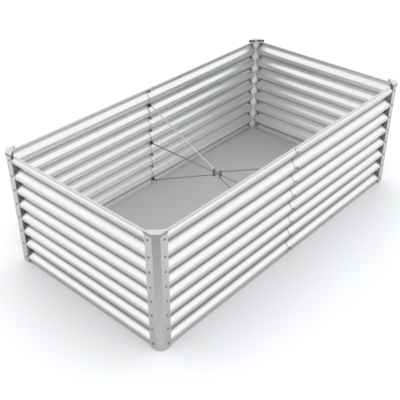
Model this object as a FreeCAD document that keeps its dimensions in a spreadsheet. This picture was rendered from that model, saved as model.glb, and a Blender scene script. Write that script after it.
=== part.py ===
import FreeCAD, Part
import math
import os
from FreeCAD import Placement, Rotation, Vector
import Sketcher

# Raised garden bed: corrugated steel panels bolted to four folded corner posts, open at the top and
# the bottom, and held in at the middle by six tie rods that meet in a hub.
#
# Frame: the origin is the middle of the base, +X runs along the long walls, +Y across the bed and
# +Z up. Lengths are in millimetres and angles in degrees. A "wall frame" lies in one wall: its x runs
# along the wall, its y runs inwards from the outer face of the post flanges, and its z is world z.

DIMENSIONS = (
    ("bed_length", 1832, "across the outer faces of the posts, along X"),
    ("bed_width", 968, "across the outer faces of the posts, along Y"),
    ("crest_count", 8, "crests of the corrugated sheet, from the ground to the rim"),
    ("rib_pitch", 76.2, "crest to crest"),
    ("rib_depth", 18, "outer crest to outer valley"),
    ("flank_angle", 38, "steepest slope of the sheet between crest and valley"),
    ("sheet_thickness", 0.8, "panel sheet"),
    ("edge_valley_flat", 7, "flat that widens the first and the last valley"),
    ("edge_flank", 3, "straight flank between the last crest and the groove under the bead"),
    ("groove_radius", 2, "bend that turns the sheet back into the bead"),
    ("groove_turn", 60, "how far that bend turns"),
    ("bead_radius", 6, "outside of the rolled bead along a panel's long edges"),
    ("bead_turn", 300, "how far the bead is rolled"),
    ("seam_lap", 30, "overlap of the two panels in the middle of a long wall"),
    ("lap_gap", 0.2, "air between the lapped sheets, square to their flanks"),
    ("notch_height", 14, "height cut from an inner panel's bead in the lap"),
    ("notch_extra", 0.5, "how far that cut runs past the lap"),
    ("post_thickness", 1.2, "post sheet"),
    ("post_chamfer", 24, "how far the corner facet cuts into each side"),
    ("post_flange", 39, "flange beyond the corner facet"),
    ("post_bend", 2, "inside radius of the post's folds"),
    ("post_foot_round", 12, "rounding of a flange's lower corner"),
    ("post_rise", 8, "post above the panels"),
    ("post_bolt_inset", 21.5, "bolt row from the corner facet"),
    ("panel_end_gap", 3, "from a panel's end to the line of the corner facet"),
    ("cap_plate", 2, "top of a corner cap"),
    ("cap_wall", 1.6, "skirt of a corner cap"),
    ("cap_gap", 0.3, "between a cap and its post"),
    ("cap_skirt", 13, "height of the cap's skirt"),
    ("cap_lip", 6, "height of the cap's inner lip"),
    ("cap_round", 1.2, "rounding of the cap's top edges"),
    ("bolt_radius", 3, "bolt shanks"),
    ("bolt_tail", 2, "bolt or rod beyond its nut"),
    ("head_radius", 5.5, "bolt heads"),
    ("head_height", 3.3, "bolt heads"),
    ("head_rim", 1.2, "upright rim under the dome of a bolt head"),
    ("hole_gap", 0.3, "between a bolt and its hole, all round"),
    ("thread_gap", 0.05, "between a nut's bore and its bolt, all round"),
    ("seat_gap", 0.1, "between a washer and the curved sheet that it bears on"),
    ("washer_radius", 6, "small washers"),
    ("washer_thickness", 1.2, "small washers"),
    ("nut_width", 10, "across the flats"),
    ("nut_height", 5, "nuts"),
    ("rod_radius", 3, "tie rods"),
    ("rod_bend", 12, "bend radius of a sloping rod's axis"),
    ("rod_reach", 8, "from an anchor nut to where the rod would bend if it bent sharply"),
    ("anchor_radius", 10, "washers behind the tie rods' nuts"),
    ("anchor_thickness", 1.6, "washers behind the tie rods' nuts"),
    ("hub_reach", 24, "from the middle of the bed to the outer face of a hub plate"),
    ("hub_plate", 3, "thickness of the hub plates"),
    ("hub_width", 18, "width of the hub plates, along X"),
    ("hub_middle", 22, "upright middle of a hub plate"),
    ("hub_wing", 14, "sloping ends of a hub plate, one for each sloping rod"),
    ("sleeve_radius", 7.5, "sleeve between the hub plates"),
    ("rod_gap", 4, "from the middle of the sleeve to the end of a middle rod"),
)

TOP_ROD_CREST = 6
MIDDLE_ROD_CREST = 3
BOTTOM_ROD_CREST = 0
ROD_CRESTS = (BOTTOM_ROD_CREST, MIDDLE_ROD_CREST, TOP_ROD_CREST)

# Each corner's post is the front-left one turned about Z: the sides of X and Y, and the turn.
CORNERS = {
    "front_left": (-1, -1, 0),
    "front_right": (1, -1, 90),
    "back_right": (1, 1, 180),
    "back_left": (-1, 1, 270),
}

# What is drawn for the front wall is turned about Z for the back one: the side of Y, and the turn.
LONG_WALLS = {
    "front": (-1, 0),
    "back": (1, 180),
}

X_AXIS = Vector(1, 0, 0)
Y_AXIS = Vector(0, 1, 0)
Z_AXIS = Vector(0, 0, 1)
SECTION_PLANE = Rotation(Vector(1, 1, 1), 120)  # a sketch's x along world Y and its y along world Z
WALL_PLANE = Rotation(X_AXIS, 90)               # a sketch's x along world X and its y along world Z
INWARDS = Rotation(X_AXIS, -90)                 # Z to Y
TURNED_OVER = Rotation(Y_AXIS, 180)             # X and Z both reversed

SKETCH_ORIGIN = (-1, 1)       # how a constraint names the origin of its sketch
START, END, CENTRE = 1, 2, 3  # how a constraint names the points of an edge
TOLERANCE = 1e-6
LEAST_CUT = 1                 # cubic millimetres; every cut takes at least this much

doc = FreeCAD.newDocument("raised_garden_bed")
sizes = doc.addObject("Spreadsheet::Sheet", "Sizes")
worked = doc.addObject("Spreadsheet::Sheet", "Worked")
nodes = []


# ---------------------------------------------------------------- sizes

class Size:
    """A length or an angle that knows its value and the sheet formula that gives it."""

    def __init__(self, value, formula):
        self.value = float(value)
        self.formula = formula

    def __add__(self, other):
        other = as_size(other)
        return Size(self.value + other.value, f"({self.formula} + {other.formula})")

    def __sub__(self, other):
        other = as_size(other)
        return Size(self.value - other.value, f"({self.formula} - {other.formula})")

    def __mul__(self, other):
        other = as_size(other)
        return Size(self.value * other.value, f"({self.formula} * {other.formula})")

    def __truediv__(self, other):
        other = as_size(other)
        return Size(self.value / other.value, f"({self.formula} / {other.formula})")

    def __neg__(self):
        return Size(-self.value, f"(-1 * {self.formula})")

    def __rsub__(self, other):
        return as_size(other) - self

    __radd__ = __add__
    __rmul__ = __mul__


def as_size(value):
    return value if isinstance(value, Size) else Size(value, f"({value})")


def sine(angle):
    return Size(math.sin(math.radians(angle.value)), f"sin({angle.formula})")


def cosine(angle):
    return Size(math.cos(math.radians(angle.value)), f"cos({angle.formula})")


def root(amount):
    return Size(math.sqrt(amount.value), f"sqrt({amount.formula})")


def drive(row, name, value, meaning):
    """Write one driving dimension in the sheet of sizes."""
    sizes.set(f"A{row}", str(value))
    sizes.setAlias(f"A{row}", name)
    sizes.set(f"B{row}", meaning)
    return Size(value, f"Sizes.{name}")


def keep(name, amount):
    """Write a size that follows from others in the second sheet, under a name of its own."""
    keep.row += 1
    worked.set(f"A{keep.row}", f"={amount.formula}")
    worked.setAlias(f"A{keep.row}", name)
    return Size(amount.value, f"Worked.{name}")


keep.row = 0
size = {name: drive(row, name, value, meaning)
        for row, (name, value, meaning) in enumerate(DIMENSIONS, start=1)}
crests = range(int(size["crest_count"].value))

# The sheet's middle line is a row of equal arcs joined by straight flanks, and this is their radius.
quarter = size["rib_pitch"] / 4 * sine(size["flank_angle"])
fall = size["rib_depth"] / 2 * cosine(size["flank_angle"])
rib_radius = keep("rib_radius", (quarter - fall) / (1 - cosine(size["flank_angle"])))
crest_radius = keep("crest_radius", rib_radius + size["sheet_thickness"] / 2)
valley_radius = keep("valley_radius", rib_radius - size["sheet_thickness"] / 2)
crest_inside = keep("crest_inside", crest_radius - size["sheet_thickness"])

# The bead hangs on the last flank: its middle, from the last crest, and a panel's height.
bead_start = size["flank_angle"] - size["groove_turn"]
bead_link = size["groove_radius"] + size["bead_radius"]
groove_in = keep("groove_in", crest_radius * (1 - cosine(size["flank_angle"]))
                 + size["edge_flank"] * sine(size["flank_angle"])
                 - size["groove_radius"] * cosine(size["flank_angle"]))
groove_up = keep("groove_up", (crest_radius + size["groove_radius"]) * sine(size["flank_angle"])
                 + size["edge_flank"] * cosine(size["flank_angle"]))
bead_in = keep("bead_in", groove_in + bead_link * cosine(bead_start))
bead_up = keep("bead_up", groove_up - bead_link * sine(bead_start))
half_panel = keep("half_panel", (size["crest_count"] - 1) / 2 * size["rib_pitch"]
                  + size["edge_valley_flat"] + bead_up + size["bead_radius"])
post_height = keep("post_height", half_panel * 2 + size["post_rise"])

# Where things lie in a wall frame, from the outer face of the post flanges inwards.
lap_offset = keep("lap_offset", size["lap_gap"] / cosine(size["flank_angle"])
                  + size["sheet_thickness"] / cosine(size["flank_angle"]))
single_inside = keep("single_inside", size["post_thickness"] + size["sheet_thickness"])
lapped_inside = keep("lapped_inside", single_inside + lap_offset)
flange_bolt = keep("flange_bolt", size["post_chamfer"] + size["post_bolt_inset"])
panel_start = keep("panel_start", size["post_chamfer"] + size["panel_end_gap"])
flange_end = keep("flange_end", size["post_chamfer"] + size["post_flange"])
half_length = keep("half_length", size["bed_length"] / 2)
half_width = keep("half_width", size["bed_width"] / 2)


def crest_level(crest):
    """Height of a crest above or below the middle of its panel."""
    steps = crest - (len(crests) - 1) / 2
    level = size["rib_pitch"] * steps
    if crest == crests[0]:
        level = level - size["edge_valley_flat"]
    if crest == crests[-1]:
        level = level + size["edge_valley_flat"]
    return level


def crest_height(crest):
    """Height of a crest above the ground."""
    return half_panel + crest_level(crest)


def seat_depth(radius):
    """How far a flat disc stands off the bottom of the hollow side of a crest."""
    return crest_inside - root(crest_inside * crest_inside - radius * radius) + size["seat_gap"]


# ---------------------------------------------------------------- drawing helpers

class Outline:
    """A run of straight edges and arcs for a sketch, closed or open, with every corner bound."""

    def __init__(self, x, y):
        self.corners = [(as_size(x), as_size(y))]
        self.arcs = []

    def line_to(self, x, y):
        self.corners.append((as_size(x), as_size(y)))
        self.arcs.append(None)
        return self

    def arc_to(self, x, y, centre, radius, clockwise=False):
        self.corners.append((as_size(x), as_size(y)))
        self.arcs.append((centre, as_size(radius), clockwise))
        return self

    def close(self):
        self.arcs.append(None)
        return self

    def edge(self, index):
        """The edge's geometry, and which of its ends the outline enters it by."""
        start = point(self.corners[index])
        end = point(self.corners[(index + 1) % len(self.corners)])
        if self.arcs[index] is None:
            return Part.LineSegment(start, end), START
        centre, radius, clockwise = self.arcs[index]
        middle = point(centre)
        first, last = (end, start) if clockwise else (start, end)
        circle = Part.Circle(middle, Z_AXIS, radius.value)
        arc = Part.ArcOfCircle(circle, bearing(first - middle), bearing(last - middle))
        return arc, END if clockwise else START

    def draw(self, sketch):
        base = sketch.GeometryCount
        entries = []
        for index in range(len(self.arcs)):
            geometry, entry = self.edge(index)
            sketch.addGeometry(geometry)
            entries.append(entry)
        bound = []
        for index, entry in enumerate(entries):
            exit_end = START if entry == END else END
            following = (index + 1) % len(self.corners)
            if following < len(entries):
                bound.append((("Coincident", base + index, exit_end, base + following,
                               entries[following]), None))
            else:
                bound += fixed(base + index, exit_end, self.corners[following])
            bound += fixed(base + index, entry, self.corners[index])
            if self.arcs[index] is not None:
                radius = self.arcs[index][1]
                bound.append((("Radius", base + index, radius.value), radius))
        constrain(sketch, bound)


def polygon(corners):
    outline = Outline(*corners[0])
    for x, y in corners[1:]:
        outline.line_to(x, y)
    return outline.close()


def point(corner):
    return Vector(as_size(corner[0]).value, as_size(corner[1]).value, 0)


def bearing(direction):
    return math.atan2(direction.y, direction.x)


def fixed(geometry, end, corner):
    """The two constraints that hold one end of an edge at a corner."""
    x, y = corner
    return [(("DistanceX", *SKETCH_ORIGIN, geometry, end, x.value), x),
            (("DistanceY", *SKETCH_ORIGIN, geometry, end, y.value), y)]


def constrain(sketch, bound):
    """Add the constraints, then bind the ones that carry a size to the sheets."""
    first = sketch.ConstraintCount
    sketch.addConstraint([Sketcher.Constraint(*terms) for terms, _ in bound])
    for index, (_, amount) in enumerate(bound, start=first):
        if amount is not None:
            sketch.setExpression(f"Constraints[{index}]", amount.formula)


def draw_circle(sketch, x, y, radius):
    x, y, radius = as_size(x), as_size(y), as_size(radius)
    index = sketch.GeometryCount
    sketch.addGeometry(Part.Circle(point((x, y)), Z_AXIS, radius.value))
    constrain(sketch, fixed(index, CENTRE, (x, y)) + [(("Radius", index, radius.value), radius)])


def new_sketch(name, rotation=Rotation()):
    sketch = doc.addObject("Sketcher::SketchObject", name)
    sketch.Placement = Placement(Vector(), rotation)
    return sketch


def body_sketch(body, name, plane):
    """A sketch on one of the body's own origin planes."""
    sketch = body.newObject("Sketcher::SketchObject", name)
    support = next(feature for feature in body.Origin.OriginFeatures if feature.Role == plane)
    sketch.AttachmentSupport = [(support, "")]
    sketch.MapMode = "FlatFace"
    return sketch


def bind(item, **amounts):
    """Bind properties of an object to sizes; x, y and z stand for its position."""
    for name, amount in amounts.items():
        path = f"Placement.Base.{name}" if name in ("x", "y", "z") else name
        item.setExpression(path, as_size(amount).formula)
    return item


def extrude(name, sketch, direction, length):
    solid = doc.addObject("Part::Extrusion", name)
    solid.Base = sketch
    solid.DirMode = "Custom"
    solid.Dir = direction
    solid.Solid = True
    return bind(solid, LengthFwd=length)


def pad(body, sketch, length):
    feature = body.newObject("PartDesign::Pad", f"{sketch.Name}_pad")
    feature.Profile = sketch
    return bind(feature, Length=length)


def cut_through(body, sketch, thickness):
    """Cut a sketch out of the body, as deep as twice the thickness on both sides of the sketch's plane."""
    feature = body.newObject("PartDesign::Pocket", f"{sketch.Name}_cut")
    feature.Profile = sketch
    feature.SideType = "Symmetric"
    return bind(feature, Length=thickness * 4)


def round_edges(body, radius, chosen):
    """Fillet the body's edges that the test chooses."""
    doc.recompute()
    tip = body.Tip
    names = [f"Edge{index}" for index, edge in enumerate(tip.Shape.Edges, start=1) if chosen(edge)]
    feature = body.newObject("PartDesign::Fillet", f"{body.Name}_round")
    feature.Base = (tip, names)
    return bind(feature, Radius=radius)


def compound(name, members, rotation=Rotation(), **position):
    group = doc.addObject("Part::Compound", name)
    group.Links = list(members)
    group.Placement = Placement(Vector(), rotation)
    return bind(group, **position)


def node(item, label):
    """Name a finished sub-part; its label is the name of its file."""
    item.Label = label
    nodes.append(item)
    return item


# ---------------------------------------------------------------- corrugated panels

class Bend:
    """A bend of the sheet, run through from the bottom edge upwards. Inner: its middle is inside the bed."""

    def __init__(self, x, y, radius, inner, start, end, joined=False):
        self.x = x
        self.y = y
        self.radius = radius
        self.inner = inner
        self.start = start
        self.end = end
        self.joined = joined

    def rim_radius(self, thickness):
        return self.radius - thickness if self.inner else self.radius + thickness

    def rim(self, angle, thickness):
        """The point of the sheet's outer face, or that thickness further in, at an angle."""
        radius = self.rim_radius(thickness)
        return self.x + radius * cosine(angle), self.y + radius * sine(angle)


def draw_sheet(sketch, bends, thickness, run_on=None):
    """Draw sheet of an even thickness along the bends, up its outer face and down its inner one.

    run_on is a straight length beyond the last bend.
    """
    outline = Outline(*bends[0].rim(bends[0].start, 0))
    for bend in bends:
        if bend is not bends[0] and not bend.joined:
            outline.line_to(*bend.rim(bend.start, 0))
        outline.arc_to(*bend.rim(bend.end, 0), (bend.x, bend.y), bend.rim_radius(0), bend.inner)
    if run_on is not None:
        for depth in (0, thickness):
            x, y = bends[-1].rim(bends[-1].end, depth)
            outline.line_to(x, y + run_on)
    joined = False
    for bend in reversed(bends):
        if not joined:
            outline.line_to(*bend.rim(bend.end, thickness))
        outline.arc_to(*bend.rim(bend.start, thickness), (bend.x, bend.y), bend.rim_radius(thickness),
                       not bend.inner)
        joined = bend.joined
    outline.close().draw(sketch)


# Both sections have their crest at z = 0. A rib runs from the middle of one valley to the middle of the
# next. The bottom edge of a panel runs from its bead to the end of the flat in the first valley.
FACING_IN = as_size(0)
flank = size["flank_angle"]
half_pitch = size["rib_pitch"] / 2
valley_in = size["rib_depth"] - valley_radius
bead_roll = bead_start - 180
crest_bend = Bend(crest_radius, 0, crest_radius, True, 180 + flank, 180 - flank)
upper_valley = Bend(valley_in, half_pitch, valley_radius, False, -flank, FACING_IN)
lower_valley = Bend(valley_in, -half_pitch, valley_radius, False, FACING_IN, flank)
bead = Bend(bead_in, -bead_up, size["bead_radius"], True, bead_roll + size["bead_turn"], bead_roll)
groove = Bend(groove_in, -groove_up, size["groove_radius"], False, bead_start, flank, joined=True)

rib_section = new_sketch("rib_section", SECTION_PLANE)
draw_sheet(rib_section, [lower_valley, crest_bend, upper_valley], size["sheet_thickness"])
edge_section = new_sketch("edge_section", SECTION_PLANE)
draw_sheet(edge_section, [bead, groove, crest_bend, upper_valley], size["sheet_thickness"],
           run_on=size["edge_valley_flat"])


def corrugated_sheet(name, length):
    """A length of the sheet with its middle at z = 0, made of its two edges and the ribs between."""
    rib = extrude(f"{name}_rib", rib_section, X_AXIS, length)
    edge = extrude(f"{name}_edge", edge_section, X_AXIS, length)
    bottom = compound(f"{name}_bottom", [edge], z=crest_level(crests[0]))
    top = compound(f"{name}_top", [edge], TURNED_OVER, x=length, z=crest_level(crests[-1]))
    ribs = [compound(f"{name}_rib_{crest}", [rib], z=crest_level(crest)) for crest in crests[1:-1]]
    sheet = doc.addObject("Part::MultiFuse", name)
    sheet.Shapes = [bottom, top] + ribs
    sheet.Refine = True
    return sheet


def drill(name, thickness, rotation, **position):
    """A cylinder that cuts one bolt hole: it starts one thickness before the material and ends one beyond."""
    tool = doc.addObject("Part::Cylinder", name)
    tool.Placement = Placement(Vector(), rotation)
    return bind(tool, Radius=size["bolt_radius"] + size["hole_gap"], Height=thickness * 3, **position)


def cut_away(name, base, tools):
    """Cut the tools out of a solid; every cut is checked to have taken something."""
    cut = doc.addObject("Part::Cut", name)
    cut.Base = base
    cut.Tool = compound(f"{name}_tools", tools)
    cuts.append(cut)
    return cut


cuts = []
panel_drills = [
    drill(f"panel_drill_{crest}", size["sheet_thickness"], INWARDS,
          y=-size["sheet_thickness"], z=crest_level(crest))
    for crest in crests
]


def panel(name, sheet, columns, notches=()):
    """A sheet with a column of bolt holes at each x given, and less what its notches take."""
    drilled = [compound(f"{name}_column_{index}", panel_drills, x=column)
               for index, column in enumerate(columns)]
    return cut_away(name, sheet, drilled + list(notches))


def edge_notch(name, level):
    """A box that takes the bead off the start of a panel, so that it nests inside its neighbour."""
    box = doc.addObject("Part::Box", name)
    return bind(box, Length=size["seam_lap"] + size["notch_extra"], Width=bead_in + size["bead_radius"] * 2,
                Height=size["notch_height"], z=level)


bolt_from_end = flange_bolt - panel_start
long_length = keep("long_length", half_length - panel_start + size["seam_lap"] / 2)
end_length = keep("end_length", size["bed_width"] - panel_start * 2)
long_sheet = corrugated_sheet("long_sheet", long_length)
long_columns = (size["seam_lap"] / 2, long_length - bolt_from_end)
outer_panel = panel("outer_panel", long_sheet, long_columns)
inner_panel = panel("inner_panel", long_sheet, long_columns,
                    notches=(edge_notch("bottom_notch", -half_panel),
                             edge_notch("top_notch", half_panel - size["notch_height"])))
end_panel = panel("end_panel", corrugated_sheet("end_sheet", end_length),
                  (bolt_from_end, end_length - bolt_from_end))

# An inner panel leans: its one end meets the post where the outer one does, and the other lies inside it.
lean = math.degrees(math.asin((lap_offset / long_length).value))
for wall, (side, turn) in LONG_WALLS.items():
    facing = Rotation(Z_AXIS, turn)
    outer_hand, inner_hand = ("right", "left") if wall == "front" else ("left", "right")
    node(compound(f"outer_{wall}", [outer_panel], facing, x=size["seam_lap"] / 2 * side,
                  y=(half_width - size["post_thickness"]) * side, z=half_panel),
         f"panel_{wall}_{outer_hand}")
    node(compound(f"inner_{wall}", [inner_panel], facing * Rotation(Z_AXIS, lean) * TURNED_OVER,
                  x=size["seam_lap"] / 2 * -side,
                  y=(half_width - size["post_thickness"] - lap_offset) * side, z=half_panel),
         f"panel_{wall}_{inner_hand}")
for hand, side, turn in (("left", -1, -90), ("right", 1, 90)):
    node(compound(f"end_{hand}", [end_panel], Rotation(Z_AXIS, turn),
                  x=(half_length - size["post_thickness"]) * side,
                  y=end_length / 2 * -side, z=half_panel),
         f"panel_end_{hand}")


# ---------------------------------------------------------------- corner posts and their caps
# Both are drawn in the front-left corner, with one flange or skirt along +X and the other along +Y.

DIAGONAL = math.sqrt(2) - 1  # how far a 45 degree fold moves along a flange as the faces move in
COSINE_45 = math.sqrt(0.5)


def facet_start(inset):
    """Where a face that lies that far inside the flange's outer face meets the corner facet."""
    return size["post_chamfer"] + inset * DIAGONAL


def post_outline():
    thickness = size["post_thickness"]
    outer_bend = size["post_bend"] + thickness
    middle = (facet_start(outer_bend), outer_bend)
    across = (middle[1], middle[0])
    outer = outer_bend * COSINE_45
    inner = size["post_bend"] * COSINE_45
    outline = Outline(flange_end, 0)
    outline.line_to(middle[0], 0)
    outline.arc_to(middle[0] - outer, middle[1] - outer, middle, outer_bend, clockwise=True)
    outline.line_to(across[0] - outer, across[1] - outer)
    outline.arc_to(0, across[1], across, outer_bend, clockwise=True)
    outline.line_to(0, flange_end)
    outline.line_to(thickness, flange_end)
    outline.line_to(thickness, across[1])
    outline.arc_to(across[0] - inner, across[1] - inner, across, size["post_bend"])
    outline.line_to(middle[0] - inner, middle[1] - inner)
    outline.arc_to(middle[0], thickness, middle, size["post_bend"])
    outline.line_to(flange_end, thickness)
    return outline.close()


def is_flange_foot(edge):
    """The short edges where the end of a flange meets the ground."""
    return all(vertex.Z < TOLERANCE and abs(max(vertex.X, vertex.Y) - flange_end.value) < TOLERANCE
               for vertex in edge.Vertexes)


post = doc.addObject("PartDesign::Body", "corner_post")
profile = body_sketch(post, "post_profile", "XY_Plane")
post_outline().draw(profile)
pad(post, profile, post_height)
for plane, sketch_name in (("XZ_Plane", "post_holes_x"), ("YZ_Plane", "post_holes_y")):
    holes = body_sketch(post, sketch_name, plane)
    for crest in crests:
        draw_circle(holes, flange_bolt, crest_height(crest), size["bolt_radius"] + size["hole_gap"])
    cut_through(post, holes, size["post_thickness"])
round_edges(post, size["post_foot_round"], is_flange_foot)


cap_out = -size["cap_gap"] - size["cap_wall"]
lip_out = size["post_thickness"] + size["cap_gap"]
lip_in = lip_out + size["cap_wall"]
cap_end = flange_end - cap_out
skirt_end = cap_end - size["cap_wall"]


def side_path(inset, end):
    """The corners of a line that far inside the post's outer face, from one side's end to the other's."""
    return [(end, inset), (facet_start(inset), inset), (inset, facet_start(inset)), (inset, end)]


def cap_outlines():
    """The cap's plate, its skirt outside the post's sides and their ends, and its lip inside them."""
    skirt_in = -size["cap_gap"]
    rim = [(cap_end, lip_in)] + side_path(cap_out, cap_end) + [(lip_in, cap_end)]
    skirt_inside = side_path(skirt_in, skirt_end)[::-1]
    skirt = rim + [(lip_in, skirt_end)] + skirt_inside + [(skirt_end, lip_in)]
    lip = side_path(lip_out, cap_end) + side_path(lip_in, cap_end)[::-1]
    return polygon(rim), polygon(skirt), polygon(lip)


cap = doc.addObject("PartDesign::Body", "corner_cap")
plate_outline, skirt_outline, lip_outline = cap_outlines()
plate_profile = body_sketch(cap, "cap_plate_profile", "XY_Plane")
plate_outline.draw(plate_profile)
pad(cap, plate_profile, size["cap_plate"])
for outline, sketch_name, drop in ((skirt_outline, "cap_skirt_profile", size["cap_skirt"]),
                                   (lip_outline, "cap_lip_profile", size["cap_lip"])):
    below = body_sketch(cap, sketch_name, "XY_Plane")
    outline.draw(below)
    pad(cap, below, drop).Reversed = True


def is_cap_rim(edge):
    """The edges round the top of the cap."""
    return all(abs(vertex.Z - size["cap_plate"].value) < TOLERANCE for vertex in edge.Vertexes)


round_edges(cap, size["cap_round"], is_cap_rim)

for corner, (x_side, y_side, turn) in CORNERS.items():
    place = {"x": half_length * x_side, "y": half_width * y_side}
    facing = Rotation(Z_AXIS, turn)
    node(compound(f"post_{corner}", [post], facing, **place), f"corner_post_{corner}")
    node(compound(f"cap_{corner}", [cap], facing, z=post_height, **place), f"corner_cap_{corner}")


# ---------------------------------------------------------------- bolts, washers and nuts
# Every fastener is drawn on the Y axis, with its bolt pointing along +Y, into the bed.

def bolt_profile(name, length):
    """Half the section of a bolt with a domed head; the head bears on y = 0."""
    sketch = new_sketch(name)
    rise = size["head_height"] - size["head_rim"]
    dome = (size["head_radius"] * size["head_radius"] + rise * rise) / (rise * 2)
    outline = Outline(0, -size["head_height"])
    outline.arc_to(size["head_radius"], -size["head_rim"], (0, dome - size["head_height"]), dome)
    outline.line_to(size["head_radius"], 0)
    outline.line_to(size["bolt_radius"], 0)
    outline.line_to(size["bolt_radius"], length)
    outline.line_to(0, length)
    outline.close().draw(sketch)
    return sketch


def washer_profile(name, radius):
    sketch = new_sketch(name, WALL_PLANE)
    draw_circle(sketch, 0, 0, radius)
    draw_circle(sketch, 0, 0, size["bolt_radius"] + size["hole_gap"])
    return sketch


def nut_profile(name):
    """A hexagon with two upright flats, bored to sit on a bolt or a rod."""
    sketch = new_sketch(name, WALL_PLANE)
    corner = size["nut_width"] / math.sqrt(3)
    corners = [(corner * cosine(as_size(angle)), corner * sine(as_size(angle)))
               for angle in range(30, 360, 60)]
    polygon(corners).draw(sketch)
    draw_circle(sketch, 0, 0, size["bolt_radius"] + size["thread_gap"])
    return sketch


washer_ring = washer_profile("washer_ring", size["washer_radius"])
anchor_ring = washer_profile("anchor_ring", size["anchor_radius"])
nut_hexagon = nut_profile("nut_hexagon")


def bolt_row(name, sketch, chosen, start):
    members = []
    for crest in chosen:
        bolt = doc.addObject("Part::Revolution", f"{name}_{crest}")
        bolt.Source = sketch
        bolt.Axis = Y_AXIS
        bolt.Angle = 360
        bolt.Solid = True
        members.append(bind(bolt, y=start, z=crest_height(crest)))
    return compound(name, members)


def disc_row(name, sketch, thickness, chosen, start):
    members = [bind(extrude(f"{name}_{crest}", sketch, Y_AXIS, thickness), y=start, z=crest_height(crest))
               for crest in chosen]
    return compound(name, members)


def stack(inside, washer, thickness):
    """From the wall's plane: where a washer starts behind the sheet, its nut, and the bolt's end."""
    washer_at = inside + seat_depth(washer)
    nut_at = washer_at + thickness
    return washer_at, nut_at, nut_at + size["nut_height"] + size["bolt_tail"]


post_washer_at, post_nut_at, post_bolt_end = stack(single_inside, size["washer_radius"],
                                                   size["washer_thickness"])
seam_washer_at, seam_nut_at, seam_bolt_end = stack(lapped_inside, size["washer_radius"],
                                                   size["washer_thickness"])
anchor_washer_at, anchor_nut_at, _ = stack(lapped_inside, size["anchor_radius"],
                                           size["anchor_thickness"])
seam_crests = [crest for crest in crests if crest not in ROD_CRESTS]

post_rows = {
    "post_bolts": bolt_row("post_bolt", bolt_profile("post_bolt_profile", post_bolt_end), crests, 0),
    "post_washers": disc_row("post_washer", washer_ring, size["washer_thickness"], crests,
                             post_washer_at),
    "post_nuts": disc_row("post_nut", nut_hexagon, size["nut_height"], crests, post_nut_at),
}
seam_start = size["post_thickness"]
outer_washer_at = seam_start - size["washer_thickness"]
outer_nut_at = outer_washer_at - size["nut_height"]
seam_rows = {
    "seam_bolts": bolt_row("seam_bolt", bolt_profile("seam_bolt_profile", seam_bolt_end - seam_start),
                           seam_crests, seam_start),
    "seam_washers": disc_row("seam_washer", washer_ring, size["washer_thickness"], seam_crests,
                             seam_washer_at),
    "seam_nuts": disc_row("seam_nut", nut_hexagon, size["nut_height"], seam_crests, seam_nut_at),
    "rod_outer_washers": disc_row("rod_outer_washer", washer_ring, size["washer_thickness"],
                                  ROD_CRESTS, outer_washer_at),
    "rod_outer_nuts": disc_row("rod_outer_nut", nut_hexagon, size["nut_height"], ROD_CRESTS,
                               outer_nut_at),
    "rod_anchor_washers": disc_row("rod_anchor_washer", anchor_ring, size["anchor_thickness"],
                                   ROD_CRESTS, anchor_washer_at),
    "rod_anchor_nuts": disc_row("rod_anchor_nut", nut_hexagon, size["nut_height"], ROD_CRESTS,
                                anchor_nut_at),
}

for kind, row in post_rows.items():
    along_x = compound(f"{kind}_along_x", [row], x=flange_bolt)
    along_y = compound(f"{kind}_along_y", [row], Rotation(Z_AXIS, -90), y=flange_bolt)
    for corner, (x_side, y_side, turn) in CORNERS.items():
        node(compound(f"{kind}_{corner}", [along_x, along_y], Rotation(Z_AXIS, turn),
                      x=half_length * x_side, y=half_width * y_side), f"{kind}_{corner}")
for kind, row in seam_rows.items():
    for wall, (side, turn) in LONG_WALLS.items():
        node(compound(f"{kind}_{wall}", [row], Rotation(Z_AXIS, turn), y=half_width * side),
             f"{kind}_{wall}")


# ---------------------------------------------------------------- tie rods and their hub
# These are drawn on the back half, where y is positive, and turned about Z for the front half.

hub_height = keep("hub_height", crest_height(MIDDLE_ROD_CREST))
rod_start = keep("rod_start", half_width - outer_nut_at + size["bolt_tail"])
rod_corner = keep("rod_corner", half_width - anchor_nut_at - size["nut_height"] - size["rod_reach"])


class Slope:
    """One of the two sloping rods of a wall: up is 1 for the top one and -1 for the bottom one."""

    def __init__(self, name, crest, up):
        self.name = name
        self.up = up
        self.level = crest_height(crest)
        run = rod_corner - size["hub_reach"]
        rise = (self.level - hub_height) * up - size["hub_middle"] / 2
        reach = root(run * run + rise * rise)
        half_wing = size["hub_wing"] / 2
        angle = math.atan2(rise.value, run.value) - math.asin((half_wing / reach).value)
        formula = f"atan2({rise.formula}; {run.formula}) - asin({(half_wing / reach).formula})"
        self.angle = keep(f"{name}_slope", Size(math.degrees(angle), formula))

    def on_axis(self, distance):
        """A point of the rod's axis: 0 on the outer face of the hub's wing, positive towards the wall."""
        half_wing = size["hub_wing"] / 2
        y = size["hub_reach"] - half_wing * sine(self.angle) + distance * cosine(self.angle)
        z = hub_height + (size["hub_middle"] / 2 + half_wing * cosine(self.angle)
                          + distance * sine(self.angle)) * self.up
        return y, z

    def wing(self, along, depth):
        """A point of the wing's section: along it from the bend, and that deep below its outer face."""
        y = size["hub_reach"] - along * sine(self.angle) - depth * cosine(self.angle)
        z = hub_height + (size["hub_middle"] / 2 + along * cosine(self.angle)
                          - depth * sine(self.angle)) * self.up
        return y, z


slopes = (Slope("top", TOP_ROD_CREST, 1), Slope("bottom", BOTTOM_ROD_CREST, -1))
inner_stack = size["hub_plate"] + size["nut_height"]


def round_section(name, y, z, radius):
    """A circle across the Y axis, from which a rod is swept."""
    sketch = new_sketch(name, WALL_PLANE)
    draw_circle(sketch, 0, 0, radius)
    return bind(sketch, y=y, z=z)


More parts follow.
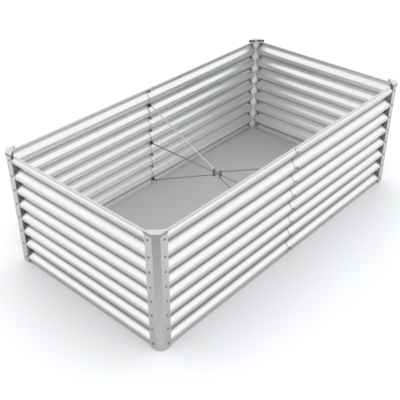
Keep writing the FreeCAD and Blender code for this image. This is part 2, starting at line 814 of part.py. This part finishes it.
def sloping_rod(slope):
    """A rod that is level where it passes through the wall, and then bends towards the hub."""
    half_angle = slope.angle / 2
    tangent = size["rod_bend"] * sine(half_angle) / cosine(half_angle)
    bend_from = rod_corner + tangent
    path = new_sketch(f"{slope.name}_rod_path", SECTION_PLANE)
    outline = Outline(rod_start, slope.level)
    outline.line_to(bend_from, slope.level)
    outline.arc_to(rod_corner - tangent * cosine(slope.angle),
                   slope.level - tangent * sine(slope.angle) * slope.up,
                   (bend_from, slope.level - size["rod_bend"] * slope.up), size["rod_bend"],
                   clockwise=slope.up < 0)
    outline.line_to(*slope.on_axis(-inner_stack - size["bolt_tail"]))
    outline.draw(path)
    rod = doc.addObject("Part::Sweep", f"{slope.name}_rod")
    rod.Sections = [round_section(f"{slope.name}_rod_section", rod_start, slope.level,
                                  size["rod_radius"])]
    rod.Spine = (path, ["Edge1", "Edge2", "Edge3"])
    rod.Solid = True
    return rod


def rod_along_y(name, radius, start, end):
    """A level round bar on the hub's height, between two places along Y."""
    bar = doc.addObject("Part::Cylinder", name)
    bar.Placement = Placement(Vector(), INWARDS)
    return bind(bar, Radius=radius, Height=end - start, y=start, z=hub_height)


def hub_plate_outline():
    """The plate's section: x is world Y and y is world Z, with the outer face towards the wall."""
    top, bottom = slopes
    fold = as_size(0)
    outside = [bottom.wing(fold, 0), top.wing(fold, 0), top.wing(size["hub_wing"], 0)]
    inside = [top.wing(size["hub_wing"], size["hub_plate"]), inner_fold(top), inner_fold(bottom),
              bottom.wing(size["hub_wing"], size["hub_plate"])]
    return polygon(outside + inside + [bottom.wing(size["hub_wing"], 0)])


def inner_fold(slope):
    """Where the inner faces of the plate's middle and of a wing meet."""
    half_angle = slope.angle / 2
    shift = size["hub_plate"] * sine(half_angle) / cosine(half_angle)
    return size["hub_reach"] - size["hub_plate"], hub_height + (size["hub_middle"] / 2 - shift) * slope.up


plate = doc.addObject("PartDesign::Body", "hub_plate_blank")
plate_section = body_sketch(plate, "hub_plate_section", "YZ_Plane")
hub_plate_outline().draw(plate_section)
pad(plate, plate_section, size["hub_width"]).SideType = "Symmetric"
drill_start = -size["hub_plate"] * 2
plate_tools = [drill("hub_drill_middle", size["hub_plate"], INWARDS,
                     y=size["hub_reach"] + drill_start, z=hub_height)]
for slope in slopes:
    tool_y, tool_z = slope.on_axis(drill_start)
    tilt = slope.angle.value * slope.up - 90
    plate_tools.append(drill(f"hub_drill_{slope.name}", size["hub_plate"], Rotation(X_AXIS, tilt),
                             y=tool_y, z=tool_z))
drilled_plate = cut_away("hub_plate", plate, plate_tools)

hub_nuts = [bind(extrude("hub_nut_middle", nut_hexagon, Y_AXIS, size["nut_height"]),
                 y=size["hub_reach"], z=hub_height)]
for slope in slopes:
    nut = extrude(f"hub_nut_{slope.name}", nut_hexagon, Y_AXIS, size["nut_height"])
    nut.Placement = Placement(Vector(), Rotation(X_AXIS, slope.angle.value * slope.up))
    nut_y, nut_z = slope.on_axis(-inner_stack)
    hub_nuts.append(bind(nut, y=nut_y, z=nut_z))

rods = {slope.name: sloping_rod(slope) for slope in slopes}
rods["middle"] = rod_along_y("middle_rod", size["rod_radius"], size["rod_gap"], rod_start)
sleeve_reach = size["hub_reach"] - size["hub_plate"]
sleeve_bore = rod_along_y("sleeve_bore", size["rod_radius"] + size["thread_gap"],
                          -size["hub_reach"], size["hub_reach"])
sleeve = cut_away("sleeve", rod_along_y("sleeve_bar", size["sleeve_radius"], -sleeve_reach, sleeve_reach),
                  [sleeve_bore])
node(sleeve, "hub_sleeve")

halves = {"back": Rotation(), "front": Rotation(Z_AXIS, 180)}
for half, facing in halves.items():
    for name, rod in rods.items():
        node(compound(f"rod_{half}_{name}", [rod], facing), f"tie_rod_{half}_{name}")
    node(compound(f"hub_{half}", [drilled_plate], facing), f"hub_plate_{half}")
node(compound("hub_nut_set", [compound(f"hub_nuts_{half}", hub_nuts, facing)
                              for half, facing in halves.items()]), "hub_nuts")


# ---------------------------------------------------------------- checks and export

doc.recompute()
broken = [item.Label for item in doc.Objects if "Invalid" in item.State or "Error" in item.State]
if broken:
    raise RuntimeError(f"these objects failed: {broken}")
for cut in cuts:
    if cut.Shape.Volume > cut.Base.Shape.Volume - LEAST_CUT:
        raise RuntimeError(f"{cut.Label} cut nothing")
for item in nodes:
    if item.Shape.isNull() or not item.Shape.isValid() or not item.Shape.Solids:
        raise RuntimeError(f"{item.Label} has no valid solid")

os.makedirs("parts", exist_ok=True)
for item in nodes:
    item.Shape.exportStep(f"parts/{item.Label}.step")
print(f"{len(nodes)} nodes, {sum(len(item.Shape.Solids) for item in nodes)} solids")
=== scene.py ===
import bpy
import math
from mathutils import Matrix, Vector


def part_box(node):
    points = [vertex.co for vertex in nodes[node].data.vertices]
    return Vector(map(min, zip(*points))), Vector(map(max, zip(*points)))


# Looks for the raised garden bed: bright galvanised panels, slightly greyer posts, plastic corner caps and
# zinc fasteners, on a white studio floor. Lengths are in metres.

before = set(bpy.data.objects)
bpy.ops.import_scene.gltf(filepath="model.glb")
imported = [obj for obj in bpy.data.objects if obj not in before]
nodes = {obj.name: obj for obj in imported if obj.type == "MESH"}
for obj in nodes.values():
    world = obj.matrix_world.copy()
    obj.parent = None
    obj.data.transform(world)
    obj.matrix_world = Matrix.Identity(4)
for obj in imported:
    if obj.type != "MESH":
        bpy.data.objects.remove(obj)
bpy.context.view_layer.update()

# The photograph's camera, fitted to the caps, the posts' feet and the rods. Angles are in degrees.
CAMERA_PLACE = (-2.353, -1.999, 2.184)
CAMERA_HEADING = 41.99
CAMERA_DIP = 34.08
CAMERA_ROLL = -0.17
FOCAL_PIXELS = 703.9
IMAGE_PIXELS = 400
SENSOR_WIDTH = 36

# The sky: the direction in which it is dim low down, the cosines of the angle from there at which the dimming
# starts and is full, and the heights at which the low sky ends and the high sky starts. Angles are in degrees.
DIM_SIDE = -155
DIM_START, DIM_FULL = 0.6, 0.95
LOW_SKY_END, HIGH_SKY_START = 40, 68
WHITE = (1.0, 1.0, 1.0)

# The floors' contact shade: its reach, its samples, and how open a place is where the shade is full.
CONTACT_REACH = 0.42
CONTACT_SAMPLES = 16
CONTACT_FULL = 0.5

# The corrugated sheet: its pitch, the last crest's distance from the middle, and the middle's height. The
# valleys beside the first and the last rib are 7 mm wider, between these two levels from the middle.
RIB_PITCH = 0.0762
LAST_CREST = 3.5 * RIB_PITCH
GROOVE_MIDDLE = 0.3015
EDGE_VALLEYS = ((0.214, 0.221), (-0.252, -0.245))

# The painted shade in the sheet's hollows: its colour, its reach from a hollow's middle outside and inside, its
# strength inside, how far up it lies inside on the end walls (X) and the long walls (Y), and how its line
# wanders.
SHADE_COLOUR = (0.32, 0.325, 0.33)
GROOVE_SHADE_REACH = 0.017
INSIDE_SHADE_REACH = 0.016
INSIDE_SHADE = 0.6
INSIDE_SHADE_UP = {"X": 0.017, "Y": 0.0105}
WANDER = 0.0012
WANDER_SCALE = 9.0

# Inside, the sheet is rougher towards the ground: by how much at the ground, and up to what height.
DULL_FOOT = 0.2
DULL_TOP = 0.48

# The rolled beads: their distance from the middle, and the strength of the painted shade on them.
BEAD_START = 0.2895
BEAD_SHADE = 0.34

# The dark line at a sheet's cut end.
CUT_EDGE = 0.0018
CUT_COLOUR = (0.16, 0.165, 0.17)

# The posts: their height, the painted shade's strength at the top of the facet, the bed's length over its width,
# the least outward product of normal and place that counts as the facet, and the painted light colour of the
# facet's inner face.
POST_HEIGHT = 0.608
FACET_SHADE = 0.78
LENGTH_OVER_WIDTH = 1.9
FACET_LEAST = 0.35
INSIDE_FACET_LIGHT = (0.94, 0.94, 0.95)

# Galvanised sheet: each pattern's share in the tone, the scales, the grain's height and the range of gloss.
CRYSTAL_SHARE, LINE_SHARE, STAIN_SHARE = 0.45, 0.35, 0.2
STAIN_SCALE = 5.0
SHEET_GRAIN, SHEET_GRAIN_HEIGHT = 420.0, 0.00004
SHEET_GLOSS_RANGE = 0.06

# Plated steel and moulded plastic: scales, grain heights and the range of gloss. Plastic shows its side colour, a
# painted shade, on faces steeper than one slope and its own top colour on faces flatter than the other.
MOTTLE_SCALE, PATCH_SCALE = 160.0, 45.0
PLATED_GRAIN, PLATED_GRAIN_HEIGHT = 1500.0, 0.00003
CLOUD_SCALE = 30.0
PLASTIC_GRAIN, PLASTIC_GRAIN_HEIGHT = 1800.0, 0.00006
PLASTIC_SPECULAR = 0.3
SIDE_SLOPE, TOP_SLOPE = 0.2, 0.8
SMALL_GLOSS_RANGE = 0.08

# The colour sockets of a Mix node, which share their names with its other sockets.
MIX_FIRST, MIX_SECOND, MIX_RESULT = 6, 7, 2


# ---------------------------------------------------------------- material nodes

class Graph:
    """A node tree that is built call by call."""

    def __init__(self, tree):
        self.tree = tree

    def add(self, kind, inputs=None, **settings):
        node = self.tree.nodes.new(kind)
        for key, value in settings.items():
            setattr(node, key, value)
        for key, value in (inputs or {}).items():
            self.feed(node.inputs[key], value)
        return node

    def feed(self, socket, value):
        if isinstance(value, bpy.types.NodeSocket):
            self.tree.links.new(value, socket)
        elif socket.type == "RGBA":
            socket.default_value = (*value, 1.0)
        else:
            socket.default_value = value

    def span(self, value, low, high, start=0.0, end=1.0, smooth=False):
        """Spread a value between start and end over low to high, evenly or with a smooth start and end."""
        node = self.add("ShaderNodeMapRange", {
            "Value": value, "From Min": start, "From Max": end, "To Min": low, "To Max": high},
            interpolation_type="SMOOTHSTEP" if smooth else "LINEAR")
        return node.outputs["Result"]

    def blend(self, amount, first, second):
        """The first colour where the amount is 0, and the second where it is 1."""
        node = self.add("ShaderNodeMix", {
            "Factor": amount, MIX_FIRST: first, MIX_SECOND: second}, data_type="RGBA")
        return node.outputs[MIX_RESULT]

    def clamp(self, value, low, high):
        return self.add("ShaderNodeClamp", {"Value": value, "Min": low, "Max": high}).outputs["Result"]

    def sum(self, first, second):
        return self.math("ADD", first, second)

    def minus(self, first, second):
        return self.math("SUBTRACT", first, second)

    def product(self, first, second):
        return self.math("MULTIPLY", first, second)

    def math(self, operation, *values):
        return self.add("ShaderNodeMath", dict(enumerate(values)), operation=operation).outputs["Value"]

    def axis(self, vector, letter):
        return self.add("ShaderNodeSeparateXYZ", {"Vector": vector}).outputs[letter]


class Shader(Graph):
    """A material around one Principled BSDF, with its patterns laid in the CAD's own coordinates."""

    def __init__(self, name):
        self.material = bpy.data.materials.new(name)
        self.material.use_nodes = True
        super().__init__(self.material.node_tree)
        self.bsdf = self.tree.nodes["Principled BSDF"]
        self.position = self.add("ShaderNodeTexCoord").outputs["Object"]

    def set(self, **values):
        for name, value in values.items():
            self.feed(self.bsdf.inputs[name.replace("_", " ")], value)

    def stretched(self, x, y, z):
        """The position with each axis multiplied, so that a pattern runs along the smallest one."""
        mapping = self.add("ShaderNodeMapping", {"Vector": self.position, "Scale": (x, y, z)})
        return mapping.outputs["Vector"]

    def noise(self, scale, detail=3.0, roughness=0.55, vector=None):
        node = self.add("ShaderNodeTexNoise", {
            "Vector": vector or self.position, "Scale": scale, "Detail": detail, "Roughness": roughness})
        return node.outputs["Fac"]

    def cells(self, scale):
        """One even value in each crystal of a spangled coating."""
        node = self.add("ShaderNodeTexVoronoi", {
            "Vector": self.position, "Scale": scale, "Randomness": 1.0})
        return self.add("ShaderNodeSeparateColor", {"Color": node.outputs["Color"]}).outputs["Red"]

    def bump(self, height, distance):
        node = self.add("ShaderNodeBump", {"Height": height, "Distance": distance, "Strength": 1.0})
        self.set(Normal=node.outputs["Normal"])


def painted_groove_shade(shader, facing):
    """The painted shade on a wall's sheet, 0 on a crest and most in the bottom of a valley, and how much rougher
    it is.

    The outside and the inside of a wall have their hollows at each other's crests."""
    height = shader.axis(shader.position, "Z")
    wander = shader.span(shader.noise(WANDER_SCALE), -WANDER, WANDER)
    level = shader.minus(shader.sum(height, wander), GROOVE_MIDDLE)
    bead = shader.math("GREATER_THAN", shader.math("ABSOLUTE", level), BEAD_START)
    for valley in EDGE_VALLEYS:
        wider = shader.minus(shader.clamp(level, *valley), min(valley, key=abs))
        level = shader.minus(level, wider)
    outer = shader.math("PINGPONG", shader.clamp(level, -LAST_CREST, LAST_CREST), RIB_PITCH / 2)
    inner_level = shader.minus(level, INSIDE_SHADE_UP[facing])
    inner = shader.minus(RIB_PITCH / 2, shader.math("PINGPONG", inner_level, RIB_PITCH / 2))
    normal = shader.add("ShaderNodeNewGeometry").outputs["True Normal"]
    outwards = shader.product(shader.axis(normal, facing), shader.axis(shader.position, facing))
    outside = shader.math("GREATER_THAN", outwards, 0.0)
    inside = shader.minus(1.0, outside)
    distance = shader.sum(shader.product(outer, outside), shader.product(inner, inside))
    # Painted shade: darkest in a hollow's middle, none on the crests, and some on the beads.
    painted_shade = shader.span(distance, shader.span(outside, INSIDE_SHADE, 1.0), 0.0,
                       end=shader.span(outside, INSIDE_SHADE_REACH, GROOVE_SHADE_REACH), smooth=True)
    dull = shader.product(inside, shader.span(height, DULL_FOOT, 0.0, end=DULL_TOP))
    return shader.math("MAXIMUM", painted_shade, shader.product(bead, BEAD_SHADE)), dull


def cut_edge(shader, place):
    """1 within a thin line at a sheet's cut end in the middle of a wall."""
    distance = shader.math("ABSOLUTE", shader.minus(shader.axis(shader.position, "X"), place))
    return shader.math("LESS_THAN", distance, CUT_EDGE)


def painted_facet_shade(shader):
    """Painted shade down the outside of a post's facet, thickest at the top, and where its inner face is, for
    painted light.

    The facet is where a surface faces outwards along X and along Y, and its inner face where it faces inwards."""
    normal = shader.add("ShaderNodeNewGeometry").outputs["True Normal"]
    along_x = shader.product(shader.axis(normal, "X"), shader.axis(shader.position, "X"))
    widened_y = shader.product(shader.axis(shader.position, "Y"), LENGTH_OVER_WIDTH)
    along_y = shader.product(shader.axis(normal, "Y"), widened_y)
    facet = shader.math("GREATER_THAN", shader.math("MINIMUM", along_x, along_y), FACET_LEAST)
    lit_inner_face = shader.math("LESS_THAN", shader.math("MAXIMUM", along_x, along_y), -FACET_LEAST)
    painted_shade = shader.span(shader.axis(shader.position, "Z"), 0.0, FACET_SHADE, end=POST_HEIGHT)
    return shader.product(facet, painted_shade), lit_inner_face


def galvanised(name, dark, light, roughness, spangle, streaks, facing=None, cut=None):
    """Zinc coated sheet: small crystals of slightly different tone, faint rolling streaks, soft stains.

    A wall's sheet gives the axis that it faces, and the place of its cut end if it has one. A post gives none."""
    shader = Shader(name)
    crystals = shader.cells(spangle)
    lines = shader.noise(1.0, detail=4.0, vector=shader.stretched(*streaks))
    stains = shader.noise(STAIN_SCALE, detail=5.0)
    tone = shader.sum(shader.sum(shader.product(crystals, CRYSTAL_SHARE), shader.product(lines, LINE_SHARE)),
                      shader.product(stains, STAIN_SHARE))
    colour = shader.blend(tone, dark, light)
    gloss = shader.span(tone, roughness - SHEET_GLOSS_RANGE, roughness + SHEET_GLOSS_RANGE)
    if facing:
        # Painted shade in the sheet's hollows and on its beads.
        groove_shade, dull = painted_groove_shade(shader, facing)
        colour = shader.blend(groove_shade, colour, SHADE_COLOUR)
        gloss = shader.sum(gloss, dull)
        if cut is not None:
            colour = shader.blend(cut_edge(shader, cut), colour, CUT_COLOUR)
    else:
        # Painted shade down the post's facet, and painted light on its inner face.
        painted_shade, lit_inner_face = painted_facet_shade(shader)
        colour = shader.blend(painted_shade, colour, SHADE_COLOUR)
        colour = shader.blend(lit_inner_face, colour, INSIDE_FACET_LIGHT)
    shader.set(Base_Color=colour, Metallic=1.0, Roughness=gloss)
    shader.bump(shader.noise(SHEET_GRAIN, detail=2.0), SHEET_GRAIN_HEIGHT)
    return shader.material


def plated(name, dark, light, roughness):
    """Zinc plated steel: slight mottling, a darker film in patches and a fine grain."""
    shader = Shader(name)
    mottle = shader.noise(MOTTLE_SCALE, detail=4.0)
    patches = shader.noise(PATCH_SCALE, detail=2.0)
    tone = shader.sum(shader.product(mottle, 0.5), shader.product(patches, 0.5))
    shader.set(
        Base_Color=shader.blend(tone, dark, light),
        Metallic=1.0,
        Roughness=shader.span(mottle, roughness - SMALL_GLOSS_RANGE, roughness + SMALL_GLOSS_RANGE),
    )
    shader.bump(shader.noise(PLATED_GRAIN, detail=2.0), PLATED_GRAIN_HEIGHT)
    return shader.material


def moulded(name, dark, light, roughness, side):
    """Moulded plastic with a fine even grain, and painted shade on its steep sides."""
    shader = Shader(name)
    clouds = shader.noise(CLOUD_SCALE)
    grain = shader.noise(PLASTIC_GRAIN, detail=2.0)
    normal = shader.add("ShaderNodeNewGeometry").outputs["Normal"]
    # Painted shade: steep faces take the darker side colour.
    steep = shader.span(shader.axis(normal, "Z"), 1.0, 0.0, start=SIDE_SLOPE, end=TOP_SLOPE)
    shader.set(
        Base_Color=shader.blend(steep, shader.blend(clouds, dark, light), side),
        Roughness=shader.span(grain, roughness - SMALL_GLOSS_RANGE, roughness + SMALL_GLOSS_RANGE),
        Specular_IOR_Level=PLASTIC_SPECULAR,
    )
    shader.bump(grain, PLASTIC_GRAIN_HEIGHT)
    return shader.material


# Rolling streaks run along the axis with the small number.
ALONG_X = (3.0, 60.0, 60.0)
ALONG_Y = (60.0, 3.0, 60.0)
ALONG_Z = (60.0, 60.0, 3.0)
SHEET = {"dark": (0.78, 0.79, 0.80), "light": (0.87, 0.88, 0.88), "roughness": 0.32, "spangle": 70.0}

# The long walls have a material for each panel, because each has its cut end in a place of its own.
long_sheets = {
    panel: galvanised("galvanised_" + panel, **SHEET, streaks=ALONG_X, facing="Y",
                      cut=min((corner[0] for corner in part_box(panel)), key=abs))
    for panel in nodes if panel.startswith(("panel_front", "panel_back"))}
end_sheet = galvanised("galvanised_end", **SHEET, streaks=ALONG_Y, facing="X")
post_sheet = galvanised("galvanised_post", (0.68, 0.69, 0.70), (0.79, 0.80, 0.80),
                        roughness=0.36, spangle=90.0, streaks=ALONG_Z)
# The caps' side colour is painted shade.
cap_plastic = moulded("cap_plastic", (0.70, 0.71, 0.72), (0.78, 0.79, 0.80),
                      roughness=0.36, side=(0.40, 0.405, 0.41))
zinc = plated("zinc_fastener", (0.22, 0.225, 0.23), (0.36, 0.365, 0.37), roughness=0.38)
# A lighter copy of zinc for the rods' outer nuts: painted light.
lit_zinc = plated("lit_zinc", (0.42, 0.43, 0.44), (0.56, 0.57, 0.58), roughness=0.38)
# A darker copy of zinc for the rod anchors: painted shade.
shaded_zinc = plated("shaded_anchor_zinc", (0.09, 0.09, 0.095), (0.17, 0.17, 0.175), roughness=0.45)
rod_steel = plated("rod_steel", (0.25, 0.255, 0.26), (0.41, 0.415, 0.42), roughness=0.32)
# A lighter copy of the rod steel for the back top rod: painted light.
lit_rod = plated("lit_rod", (0.66, 0.67, 0.68), (0.84, 0.85, 0.86), roughness=0.30)
hub_steel = plated("hub_steel", (0.28, 0.285, 0.29), (0.42, 0.425, 0.43), roughness=0.40)

# The first of these that a node's name starts with gives its finish.
FINISHES = (
    ("panel_end", end_sheet),
    ("corner_post", post_sheet),
    ("corner_cap", cap_plastic),
    # Painted shade on the rod anchors.
    ("rod_anchor", shaded_zinc),
    # Painted light on the rods' outer nuts.
    ("rod_outer", lit_zinc),
    # Painted light on the back top rod.
    ("tie_rod_back_top", lit_rod),
    ("tie_rod", rod_steel),
    ("hub_plate", hub_steel),
    ("hub_sleeve", hub_steel),
)


def finish_of(name):
    """A long wall's panel has its own sheet, and the bolts, nuts and washers that aren't listed are zinc."""
    if name in long_sheets:
        return long_sheets[name]
    return next((finish for start, finish in FINISHES if name.startswith(start)), zinc)


for name, item in nodes.items():
    item.data.materials.clear()
    item.data.materials.append(finish_of(name))


# ---------------------------------------------------------------- studio

def stage_plane(name, width, depth, height, contact, colour, mirrored, seen):
    """A plain floor that keeps the shadows, with a colour for light, for reflections and for the camera."""
    bpy.ops.mesh.primitive_plane_add(size=1.0, location=(0.0, 0.0, height))
    floor = bpy.context.object
    floor.name = name
    floor.scale = (width, depth, 1.0)
    bpy.ops.object.transform_apply(scale=True)
    material = bpy.data.materials.new(name)
    material.use_nodes = True
    graph = Graph(material.node_tree)
    graph.tree.nodes.clear()
    rays = graph.add("ShaderNodeLightPath").outputs
    tone = graph.blend(rays["Is Glossy Ray"], colour, mirrored)
    tone = graph.blend(rays["Is Camera Ray"], tone, seen)
    nearby = graph.add("ShaderNodeAmbientOcclusion", {"Distance": CONTACT_REACH}, samples=CONTACT_SAMPLES)
    shade = graph.span(nearby.outputs["AO"], contact, 1.0, start=CONTACT_FULL)
    shaded = graph.add("ShaderNodeVectorMath", {"Vector": tone, "Scale": shade}, operation="SCALE")
    paint = graph.add("ShaderNodeBsdfDiffuse", {"Color": shaded.outputs["Vector"]})
    graph.add("ShaderNodeOutputMaterial", {"Surface": paint.outputs["BSDF"]})
    floor.data.materials.append(material)


def studio_world(horizon, zenith, behind):
    """A soft sky, brightest low down and dimmer on the camera's side; the camera itself sees plain white."""
    world = bpy.data.worlds.new("studio")
    world.use_nodes = True
    bpy.context.scene.world = world
    graph = Graph(world.node_tree)
    graph.tree.nodes.clear()
    direction = graph.add("ShaderNodeTexCoord").outputs["Generated"]
    dim_side = math.radians(DIM_SIDE)
    dim_direction = (math.cos(dim_side), math.sin(dim_side), 0.0)
    towards = graph.add("ShaderNodeVectorMath", {0: direction, 1: dim_direction}, operation="DOT_PRODUCT")
    low_sky = graph.span(towards.outputs["Value"], horizon, behind, start=DIM_START, end=DIM_FULL, smooth=True)
    sky = graph.span(graph.axis(direction, "Z"), low_sky, zenith, start=math.sin(math.radians(LOW_SKY_END)),
                     end=math.sin(math.radians(HIGH_SKY_START)), smooth=True)
    rays = graph.add("ShaderNodeLightPath").outputs
    strength = graph.add("ShaderNodeMix", {"Factor": rays["Is Camera Ray"], "A": sky, "B": 1.0})
    background = graph.add("ShaderNodeBackground", {"Color": WHITE, "Strength": strength.outputs["Result"]})
    graph.add("ShaderNodeOutputWorld", {"Surface": background.outputs["Background"]})


def photo_camera():
    """The photograph's camera: its heading turns from X to Y, and its dip is below the horizon."""
    heading = math.radians(CAMERA_HEADING)
    dip = math.radians(CAMERA_DIP)
    roll = math.radians(CAMERA_ROLL)
    forward = Vector((math.cos(dip) * math.cos(heading), math.cos(dip) * math.sin(heading), -math.sin(dip)))
    level_right = forward.cross(Vector((0, 0, 1))).normalized()
    level_up = level_right.cross(forward)
    right = level_right * math.cos(roll) + level_up * math.sin(roll)
    up = level_up * math.cos(roll) - level_right * math.sin(roll)
    turn = Matrix((right, up, -forward)).transposed().to_4x4()
    data = bpy.data.cameras.new("photo_camera")
    data.sensor_width = SENSOR_WIDTH
    data.lens = FOCAL_PIXELS / IMAGE_PIXELS * SENSOR_WIDTH
    camera = bpy.data.objects.new("photo_camera", data)
    camera.matrix_world = Matrix.Translation(CAMERA_PLACE) @ turn
    bpy.context.scene.collection.objects.link(camera)
    bpy.context.scene.camera = camera


# The floor is white to the camera. The patch inside the bed is painted shade, grey to the camera alone, and
# painted light in reflections, brighter than white, which lightens the inner walls.
stage_plane("studio_floor", width=60.0, depth=60.0, height=-0.0010, contact=0.80,
            colour=(0.84, 0.84, 0.85), mirrored=(0.86, 0.86, 0.87), seen=(1.20, 1.22, 1.245))
stage_plane("painted_shade_inside", width=1.816, depth=0.956, height=-0.0005, contact=0.92,
            colour=(0.92, 0.92, 0.93), mirrored=(1.22, 1.22, 1.23), seen=(0.73, 0.735, 0.74))
studio_world(horizon=1.16, zenith=0.784, behind=0.32)
photo_camera()
bpy.context.scene.view_settings.view_transform = "Standard"
